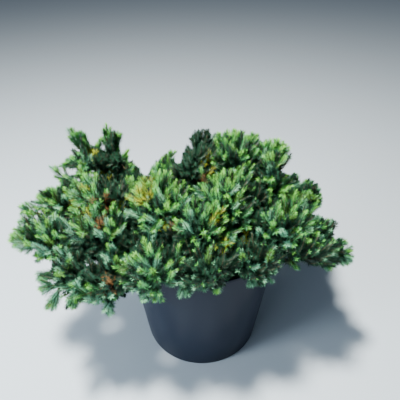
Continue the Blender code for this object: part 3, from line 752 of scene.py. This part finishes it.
def grow_plume(start, tip, tone, level, rng, shoots, twigs):
    """A branchlet with side shoots all round it, shorter towards its tip."""
    span = tip - start
    if span.length < SHORTEST_PLUME:
        return
    leading = level == LEADING_MAIN
    end = tip - span.normalized() * (LEADING_SPARE if leading else TIP_SPARE)
    sag = (LEADING_SAG if leading else PLUME_SAG) * span.length
    bend = start.lerp(end, 0.5) + Vector((0.0, 0.0, -sag))
    if not is_curve_clear(start, bend, end, PLUME_TESTS):
        return
    bare = LEADING_BARE if leading else max(LEAST_BARE, 1.0 - LONGEST_NEEDLED / span.length)
    add_shoot(start, bend, end, tone, bare, level, rng, shoots)
    path = [curve_at(start, bend, end, t) for t, _ in PLUME_TWIG]
    twigs.add_tube(path, [radius for _, radius in PLUME_TWIG])
    across = span.orthogonal().normalized()
    up = span.normalized().cross(across)
    first_turn = rng.uniform(0.0, math.tau)
    usual_count = SIDE_SHOOTS * min(MOST_SIDE_SHARE, span.length / USUAL_PLUME)
    count = LEADING_SIDE_SHOOTS if leading else max(FEWEST_SIDE_SHOOTS, round(usual_count))
    first, last = LEADING_SIDE_SPAN if leading else SIDE_SPAN
    longest, shortest = LEADING_SIDE_LENGTHS if leading else SIDE_LENGTHS
    lift = Vector((0.0, 0.0, 0.0 if leading else SIDE_LIFT))
    for k in range(count):
        share = first + (last - first) * (k + rng.uniform(*SIDE_PLACES)) / count
        root = curve_at(start, bend, end, share)
        ahead = curve_at(start, bend, end, min(1.0, share + SIDE_AIM_STEP)) - root
        ahead.normalize()
        turn = first_turn + k * GOLDEN_ANGLE
        spoke = across * math.cos(turn) + up * math.sin(turn)
        lean = (LEADING_SIDE_LEAN if leading else SIDE_LEAN) * rng.uniform(*SIDE_LEAN_SPREAD)
        length = (longest + (shortest - longest) * share) * rng.uniform(*SIDE_LENGTH_SPREAD)
        bent = lean * SIDE_BEND
        middle = root + (ahead * math.cos(bent) + spoke * math.sin(bent)) * length * 0.5
        side_tip = root + (ahead * math.cos(lean) + spoke * math.sin(lean) + lift) * length
        side_tip = room_for(root, side_tip)
        if side_tip is None:
            continue
        side_level = LEADING_SIDE if leading else level
        add_shoot(root, middle, side_tip, tone, SIDE_BARE, side_level, rng, shoots)
        twigs.add_tube([root, middle, side_tip], SIDE_TWIG_RADII)


def add_shoot(start, bend, end, tone, bare, level, rng, shoots):
    """A needled shoot; where the photograph shows old yellow or brown needles, most shoots have some."""
    old = ""
    for kind, spots in (("gold", GOLD_SPOTS), ("rust", RUST_SPOTS)):
        if in_spot(start.lerp(end, OLD_PLACE), spots) and rng.random() < OLD_CHANCE:
            old = kind
    shoots.append((start, bend, end, SHOOT_TONES.index(tone), bare, level, OLD_TONES.index(old)))


def stem_route(name, routes):
    """Points of a tuft's stem, which carries on from its limb's tip, through the tuft's heart."""
    points, _ = routes["trunk" if name == LEADER else name]
    ahead = (points[-1] - points[-2]).normalized()
    centre, axes = egg(TUFTS[name])
    return [points[-1], points[-1] + ahead * STEM_STRAIGHT, centre + axes[0] * STEM_AHEAD]


def fan_way(k, count, first_turn):
    """The way of one out of many plumes fanned out evenly round a tuft's aim."""
    lean = math.acos(1.0 - (1.0 - math.cos(PLUME_FAN)) * (k + 0.5) / count)
    turn = first_turn + k * GOLDEN_ANGLE
    return math.cos(lean), math.sin(lean) * math.cos(turn), math.sin(lean) * math.sin(turn)


def plume_tone(tuft, inner, ahead, rng):
    """The tone of a plume: painted shade inside and at the back, and now and then plain green in a fresh
    tuft.
    """
    if inner or ahead < SHADED_SIDE:
        return "shade"
    if tuft.tone == "fresh" and rng.random() < GREEN_CHANCE:
        return "green"
    return tuft.tone


def grow_fan(name, spaces, stem, inner, rng, shoots, twigs):
    """A tuft's plumes, fanned out evenly; outer ones buried in a neighbour's space are left out."""
    tuft = TUFTS[name]
    centre, axes = spaces[name]
    neighbours = [space for other, space in spaces.items() if other != name]
    count = round((INNER_DENSITY if inner else PLUME_DENSITY) * tuft.size ** 2)
    first_turn = rng.uniform(0.0, math.tau)
    for k in range(count):
        unit = fan_way(k, count, first_turn)
        ray = sum((axis * part for axis, part in zip(axes, unit)), Vector())
        tip = centre + ray * rng.uniform(*(INNER_REACH if inner else PLUME_REACH))
        stem_share = rng.uniform(*PLUME_ROOTS) + PLUME_ROOT_SHIFT * unit[0]
        start = stem[1].lerp(stem[2], min(1.0, max(0.0, stem_share)))
        tone = plume_tone(tuft, inner, unit[0], rng)
        if not inner and min(depth_in(space, tip) for space in neighbours) < BURIED:
            continue
        # In a dark hollow an outer plume is drawn back and takes the painted shade.
        if not inner and in_spot(tip, PAINTED_SHADE_HOLLOWS):
            tone = "shade"
            tip = start.lerp(tip, HOLLOW_DEPTH)
        tip = room_for(start, tip)
        if tip is not None:
            grow_plume(start, tip, tone, INNER if inner else OUTER, rng, shoots, twigs)


def grow_tuft(name, spaces, routes, order, shoots, twigs):
    """A tuft's stem, its outer and inner plumes, its leading shoots, and plumes in painted shade in the
    hollows.
    """
    tuft = TUFTS[name]
    rng = random.Random(SEED + order)
    stem = stem_route(name, routes)
    twigs.add_tube(*resampled(stem, STEM_RADII, STEM_STEP), STEM_SIDES)
    for inner in (False, True):
        grow_fan(name, spaces, stem, inner, rng, shoots, twigs)
    leading_root = stem[1].lerp(stem[2], LEADING_FROM)
    # Leading shoots of dim tufts are painted lit: fresh in place of dim.
    lit_tone = "fresh" if tuft.tone == "dim" else tuft.tone
    for leading in LEADING_SHOOTS:
        if leading.tuft == name:
            grow_leading(leading, spaces[name], leading_root, lit_tone, rng, shoots, twigs)
    # Plumes of painted shade fill the dark hollows.
    hollow_root = stem[1].lerp(stem[2], HOLLOW_FROM)
    for spot in PAINTED_SHADE_HOLLOWS:
        for _ in range(HOLLOW_PLUMES):
            u = spot.u + rng.uniform(-HOLLOW_SPREAD, HOLLOW_SPREAD) * spot.size
            v = spot.v + rng.uniform(-HOLLOW_SPREAD, HOLLOW_SPREAD) * spot.size
            tip = seen_in(spaces[name], u, v)
            if depth_in(spaces[name], tip) < HOLLOW_REACH:
                grow_plume(hollow_root, tip, "shade", INNER, rng, shoots, twigs)


def dress_boughs(routes, shoots, twigs):
    """Short inner shoots all along the boughs, leaning out and up, so that no bough is bare."""
    rng = random.Random(SEED)
    first, last = BOUGH_SHOOT_SPAN
    for name, (points, _) in routes.items():
        if name == "trunk":
            continue
        ahead = (points[-1] - points[0]).normalized()
        across = ahead.orthogonal().normalized()
        for k in range(BOUGH_SHOOTS):
            share = first + (last - first) * (k + rng.random()) / BOUGH_SHOOTS
            root = along(routes[name], share)
            turn = k * GOLDEN_ANGLE
            spoke = across * math.cos(turn) + ahead.cross(across) * math.sin(turn)
            way = ahead * BOUGH_SHOOT_AHEAD + spoke + Vector((0.0, 0.0, BOUGH_SHOOT_LIFT))
            tip = room_for(root, root + way.normalized() * rng.uniform(*BOUGH_SHOOT_LENGTHS))
            if tip is not None:
                # Shoots along the boughs take the painted shade.
                grow_plume(root, tip, "shade", INNER, rng, shoots, twigs)


def needle_arrays(shoots):
    """Base, way, side, inner side, size, width and kind of every needle, in whorls of three."""
    rng = np.random.default_rng(SEED)
    columns = [np.array(column) for column in zip(*shoots)]
    start, bend, end, tone, bare, level, old = columns
    length = np.linalg.norm(end - start, axis=1) * (1.0 - bare)
    steps = [LEADING_WHORL_STEP, WHORL_STEP]
    step = np.select([level >= LEADING_SIDE, level >= OUTER], steps, INNER_WHORL_STEP)
    whorls = np.round(length / step).astype(int)
    which = np.repeat(np.arange(len(shoots)), whorls)
    place = np.arange(which.size) - np.repeat(np.cumsum(whorls) - whorls, whorls)
    share = (place + 0.5) / whorls[which]
    t = (bare[which] + (1.0 - bare[which]) * share)[:, None]
    middle = start[which] * (1 - t) ** 2 + bend[which] * 2 * t * (1 - t) + end[which] * t ** 2
    ahead = (bend - start)[which] * (1 - t) + (end - bend)[which] * t
    ahead /= np.linalg.norm(ahead, axis=1, keepdims=True)
    reference = np.where(np.abs(ahead[:, 2:3]) > STEEP_WAY, [[1.0, 0.0, 0.0]], [[0.0, 0.0, 1.0]])
    across = np.cross(ahead, reference)
    across /= np.linalg.norm(across, axis=1, keepdims=True)
    up = np.cross(across, ahead)

    count = which.size * 3
    spin = rng.uniform(0.0, math.tau, len(shoots))
    thirds = [0.0, math.tau / 3, math.tau / 1.5]
    turn = np.repeat(spin[which] + place * math.tau / 6.0, 3) + np.tile(thirds, which.size)
    turn += rng.normal(0.0, TURN_NOISE, count)
    arrays = (middle, ahead, across, up, share, which)
    middle, ahead, across, up, share, which = [np.repeat(array, 3, axis=0) for array in arrays]
    spoke = across * np.cos(turn)[:, None] + up * np.sin(turn)[:, None]
    lean = NEEDLE_LEANS[0] + (NEEDLE_LEANS[1] - NEEDLE_LEANS[0]) * share ** LEAN_POWER
    lean += rng.normal(0.0, LEAN_NOISE, count)
    lean = np.where(share > BLUNT_FROM, lean * rng.uniform(*BLUNT_LEANS, count), lean)[:, None]
    way = ahead * np.cos(lean) + spoke * np.sin(lean)
    inner_side = ahead * np.sin(lean) - spoke * np.cos(lean)
    shortening = 1.0 - TIP_SHORTENING * share ** SHORTENING_POWER
    size = NEEDLE_LENGTH * shortening * rng.uniform(*NEEDLE_LENGTH_SPREAD, count)
    size *= np.where(level[which] == LEADING_MAIN, LEADING_NEEDLES, 1.0)

    outer = level[which] >= OUTER
    kinds = needle_kinds(tone[which], share, outer, old[which], which, middle[:, 2], rng)
    width = np.where(outer, NEEDLE_WIDTH, INNER_NEEDLE_WIDTH)
    base = middle + spoke * NEEDLE_STANDOFF
    return base, way, np.cross(way, inner_side), inner_side, size, width, kinds


def needle_kinds(tone, share, outer, old, which, height, rng):
    """The kind of every needle: a shoot has one body, more often blue low down, where the blue is partly a
    painted reflection of the sky, and young tips.
    """
    look = {kind: number for number, kind in enumerate(NEEDLE_LOOKS)}
    count = len(which)
    blue_draw, body_draw, young_draw = rng.random((which[-1] + 1, 3))[which].T
    # Low down the blue is partly a painted reflection of the sky.
    low = np.clip((REFLECTED_BLUE_BELOW - height) / REFLECTED_BLUE_FADE, 0.0, 1.0)
    bluish = blue_draw < BLUE_CHANCES[0] + (BLUE_CHANCES[1] - BLUE_CHANCES[0]) * low
    body = np.where(body_draw < OLIVE_CHANCE, look["olive"], look["green"])
    body = np.where(bluish, look["blue"], body)
    # Dim shoots mostly, and shade shoots always, take the painted shade.
    dim = (tone == SHOOT_TONES.index("dim")) & (body_draw > DIM_BODIES)
    shaded = (tone == SHOOT_TONES.index("shade")) | dim
    kinds = np.where(shaded, look["shade"], body)
    young = share + rng.normal(0.0, YOUNG_FUZZ, count) - np.array(YOUNG_FROM)[tone]
    young -= YOUNG_SPREAD * young_draw
    kinds = np.where(outer & (young > 0.0), np.where(bluish, look["pale"], look["fresh"]), kinds)
    kinds = np.where(outer & (young > TIP_AFTER) & ~bluish, look["tip"], kinds)
    # A few needles on lit shoots are pale: the real waxy bands, and painted glints.
    light = outer & ~shaded & (rng.random(count) < PALE_GLINT_CHANCE)
    kinds = np.where(light, look["pale"], kinds)
    aged = (old > 0) & (share < OLD_UNTIL) & (rng.random(count) < OLD_SHARE)
    return np.where(aged, look["gold"] - 1 + old, kinds)


def make_needles(shoots):
    """Needles: folded awls of two faces, each kind joined, in pieces of a fair size."""
    base, way, side, inner_side, size, width, kinds = needle_arrays(shoots)
    size, width = size[:, None], width[:, None]
    wide = base + way * size * NEEDLE_BROADEST
    half = side * width / 2
    fold = inner_side * width * NEEDLE_FOLD
    tip = base + way * size
    corners = np.stack((base, wide + half + fold, tip, wide - half + fold), axis=1)
    for index, (kind, look) in enumerate(NEEDLE_LOOKS.items()):
        chosen = corners[kinds == index]
        material = needle_material(kind)
        parts = max(1, math.ceil(len(chosen) / MOST_NEEDLES))
        for number, share in enumerate(np.array_split(chosen, parts), start=1):
            first = np.arange(len(share))[:, None, None] * 4
            faces = (first + np.array([[0, 1, 2], [0, 2, 3]])).reshape(-1, 3)
            name = f"needles_{kind}_{number}"
            piece_from(name, share.reshape(-1, 3), faces, material, look.slot)
    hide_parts(*[f"foliage_{name}" for name in TUFTS])


# Bark


def make_bark(routes):
    """The trunk and the boughs, with the relief of their bark."""
    material = rough_material("bark")
    points, radii = resampled(*trunk_route(), BARK_STEP)
    shell = tube_points(points, radii, TRUNK_SIDES, BARK_RELIEF, level_foot=True)
    faces = ring_faces(len(points), TRUNK_SIDES)
    trunk = piece_from("trunk_bark", shell, faces, material, "bark", smooth=True)
    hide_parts("trunk")
    boughs = Bundle()
    for name in routes:
        if name == "trunk":
            continue
        boughs.add_tube(*resampled(*routes[name], BARK_STEP), BOUGH_SIDES, BARK_RELIEF)
    bark = piece_from("bough_bark", *boughs.arrays(), material, "bark", smooth=True)
    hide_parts(*[f"bough_{name}" for name in routes if name != "trunk"])


# Pot and potting mix


def turned(name, outline, segments):
    """A mesh turned about Z from an outline of (radius, height) that starts and ends on the axis."""
    bm = bmesh.new()
    corners = [bm.verts.new((radius, 0.0, height)) for radius, height in outline]
    edges = [bm.edges.new(pair) for pair in zip(corners, corners[1:])]
    bmesh.ops.spin(bm, geom=corners + edges, axis=(0, 0, 1), cent=(0, 0, 0), steps=segments, angle=math.tau)
    bmesh.ops.remove_doubles(bm, verts=bm.verts, dist=WELD)
    bmesh.ops.recalc_face_normals(bm, faces=bm.faces)
    mesh = bpy.data.meshes.new(name)
    bm.to_mesh(mesh)
    bm.free()
    return mesh


def arc(centre, radius, start, end, steps=5):
    """Points of (radius, height) along an arc, from one angle to another, in degrees."""
    turns = [math.radians(start + (end - start) * k / steps) for k in range(steps + 1)]
    return [(centre[0] + radius * math.cos(turn), centre[1] + radius * math.sin(turn)) for turn in turns]


def make_pot():
    """The pot: a thin wall with a rounded foot and a slightly thicker rim, and drilled drain holes."""
    lip = RIM_THICKENING
    rim_base = POT_HEIGHT - RIM_DEPTH
    inner_foot = pot_radius(POT_FLOOR) - POT_WALL
    lip_inner = pot_radius(POT_HEIGHT) - POT_WALL
    outline = [(0.0, 0.0)]
    outline += arc((POT_FOOT_RADIUS - FOOT_ROUNDING, FOOT_ROUNDING), FOOT_ROUNDING, -90.0, 0.0)
    outline += [(pot_radius(rim_base * share), rim_base * share) for share in WALL_SHARES]
    outline += [(pot_radius(rim_base), rim_base), (POT_RIM_RADIUS - RIM_INSET, rim_base + lip)]
    outline += arc((POT_RIM_RADIUS - lip, POT_HEIGHT - lip), lip, 0.0, 90.0)
    outline += arc((lip_inner + lip, POT_HEIGHT - lip), lip, 90.0, 180.0)
    outline += [(inner_foot, POT_FLOOR), (0.0, POT_FLOOR)]
    mesh = turned("pot_wall", outline, POT_SEGMENTS)
    pot = piece_with("pot_wall", mesh, pot_material())
    drills = bmesh.new()
    drill = {"radius1": DRAIN_RADIUS, "radius2": DRAIN_RADIUS, "depth": 3 * POT_FLOOR}
    for k in range(DRAIN_HOLES):
        turn = Matrix.Rotation(math.tau * (k + 0.5) / DRAIN_HOLES, 4, "Z")
        place = turn @ Matrix.Translation((DRAIN_REACH, 0.0, POT_FLOOR / 2))
        bmesh.ops.create_cone(drills, cap_ends=True, segments=DRAIN_SEGMENTS, matrix=place, **drill)
    cutter_mesh = bpy.data.meshes.new("drills")
    drills.to_mesh(cutter_mesh)
    drills.free()
    cutter = bpy.data.objects.new("drills", cutter_mesh)
    bpy.context.scene.collection.objects.link(cutter)
    cut = pot.modifiers.new("cut", "BOOLEAN")
    cut.operation = "DIFFERENCE"
    cut.object = cutter
    depsgraph = bpy.context.evaluated_depsgraph_get()
    drilled = bpy.data.meshes.new_from_object(pot.evaluated_get(depsgraph))
    pot.modifiers.clear()
    pot.data = drilled
    bpy.data.objects.remove(cutter, do_unlink=True)
    pot.data.shade_smooth()
    pot.data.set_sharp_from_angle(angle=POT_SHARP_ANGLE)
    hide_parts("pot")


def soil_edge(height):
    """The soil's radius at a height: a little clear of the pot's inside."""
    return pot_radius(height) - POT_WALL - 2 * GAP


def make_soil():
    """Potting mix that fills the pot, rough on top."""
    floor = POT_FLOOR + GAP
    edge = soil_edge(SOIL_LEVEL)
    outline = [(0.0, floor), (soil_edge(floor), floor), (edge, SOIL_LEVEL - SOIL_MOUND)]
    shares = [1.0 - k / SOIL_RINGS for k in range(1, SOIL_RINGS)]
    outline += [(edge * share, SOIL_LEVEL - SOIL_MOUND * share) for share in shares]
    mesh = turned("soil", outline + [(0.0, SOIL_LEVEL)], SOIL_SEGMENTS)
    for corner in mesh.vertices:
        reach = math.hypot(corner.co.x, corner.co.y)
        if reach < edge - GAP and corner.co.z > SOIL_LEVEL / 2:
            corner.co.z += sum(noise.noise(corner.co * scale) * height for scale, height in SOIL_LUMPS)
    material = rough_material("potting_mix")
    soil = piece_with("soil", mesh, material, smooth=True)
    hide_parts("potting_mix")


def make_chips():
    """Bark chips that lie on the potting mix: rough octahedra."""
    rng = random.Random(SEED)
    edge = soil_edge(SOIL_LEVEL)
    chips = Bundle()
    for _ in range(CHIPS):
        reach = (edge - CHIP_EDGE_SPACE) * math.sqrt(rng.random())
        bearing = rng.uniform(0.0, math.tau)
        if reach < TRUNK_FOOT_RADIUS + CHIP_TRUNK_SPACE:
            continue
        centre = Vector((reach * math.cos(bearing), reach * math.sin(bearing), 0.0))
        centre.z = SOIL_LEVEL - SOIL_MOUND * reach / edge + rng.uniform(0.0, CHIP_LIFT)
        half = Vector([rng.uniform(*ends) for ends in CHIP_HALVES])
        turn = Matrix.Rotation(rng.uniform(0, math.tau), 3, "Z")
        turn = turn @ Matrix.Rotation(rng.uniform(-CHIP_TILT, CHIP_TILT), 3, "X")
        points = []
        for corner in CHIP_CORNERS:
            sizes = zip(corner, half)
            rough = Vector([part * size * rng.uniform(*CHIP_ROUGHNESS) for part, size in sizes])
            skew = [rng.uniform(-CHIP_SKEW, CHIP_SKEW) * size for size in half[:2]]
            points.append(tuple(centre + turn @ (rough + Vector((*skew, 0.0)))))
        chips.add(points, CHIP_FACES)
    piece_from("bark_chips", *chips.arrays(), rough_material("bark_chips"), "potting_mix")


# Studio and camera


def make_studio():
    """A wide floor, a faint sky and the lights."""
    corners = [(x * FLOOR_HALF, y * FLOOR_HALF, 0) for x, y in ((-1, -1), (1, -1), (1, 1), (-1, 1))]
    floor_mesh = bpy.data.meshes.new("studio_floor")
    floor_mesh.from_pydata(corners, [], [(0, 1, 2, 3)])
    material, _ = plain_material("studio_floor", FLOOR_COLOUR, roughness=0.9)
    floor_mesh.materials.append(material)
    floor = bpy.data.objects.new("studio_floor", floor_mesh)
    bpy.context.scene.collection.objects.link(floor)

    world = bpy.data.worlds.new("studio")
    world.use_nodes = True
    background = world.node_tree.nodes["Background"]
    background.inputs["Color"].default_value = SKY_COLOUR
    background.inputs["Strength"].default_value = SKY_STRENGTH
    bpy.context.scene.world = world
    for name, light in LIGHTS.items():
        soft_light(name, light)


def soft_light(name, light):
    """A round lamp that shines at the plant."""
    disk = bpy.data.lights.new(name, "AREA")
    disk.shape = "DISK"
    disk.size = light.size
    disk.energy = light.power
    disk.color = light.colour
    lamp = bpy.data.objects.new(name, disk)
    lamp.location = light.place
    aim = LIGHTS_AIM - Vector(light.place)
    lamp.rotation_euler = aim.to_track_quat("-Z", "Y").to_euler()
    bpy.context.scene.collection.objects.link(lamp)


def make_camera():
    camera = bpy.data.cameras.new("camera")
    camera.lens = CAMERA_LENS
    camera.sensor_width = SENSOR_WIDTH
    camera.clip_start = 0.01
    holder = bpy.data.objects.new("camera", camera)
    holder.location = CAMERA_PLACE
    holder.rotation_euler = (math.pi / 2 - CAMERA_TILT, 0.0, 0.0)
    bpy.context.scene.collection.objects.link(holder)
    bpy.context.scene.camera = holder


def main():
    make_camera()
    make_studio()
    make_pot()
    make_soil()
    make_chips()
    routes = limb_routes()
    make_bark(routes)
    shoots, twigs = [], Bundle()
    spaces = {name: egg(tuft) for name, tuft in TUFTS.items()}
    for order, name in enumerate(TUFTS):
        grow_tuft(name, spaces, routes, order, shoots, twigs)
    dress_boughs(routes, shoots, twigs)
    piece_from("twigs", *twigs.arrays(), rough_material("twig"), "bark", smooth=True)
    make_needles(shoots)


main()
bpy.context.view_layer.update()
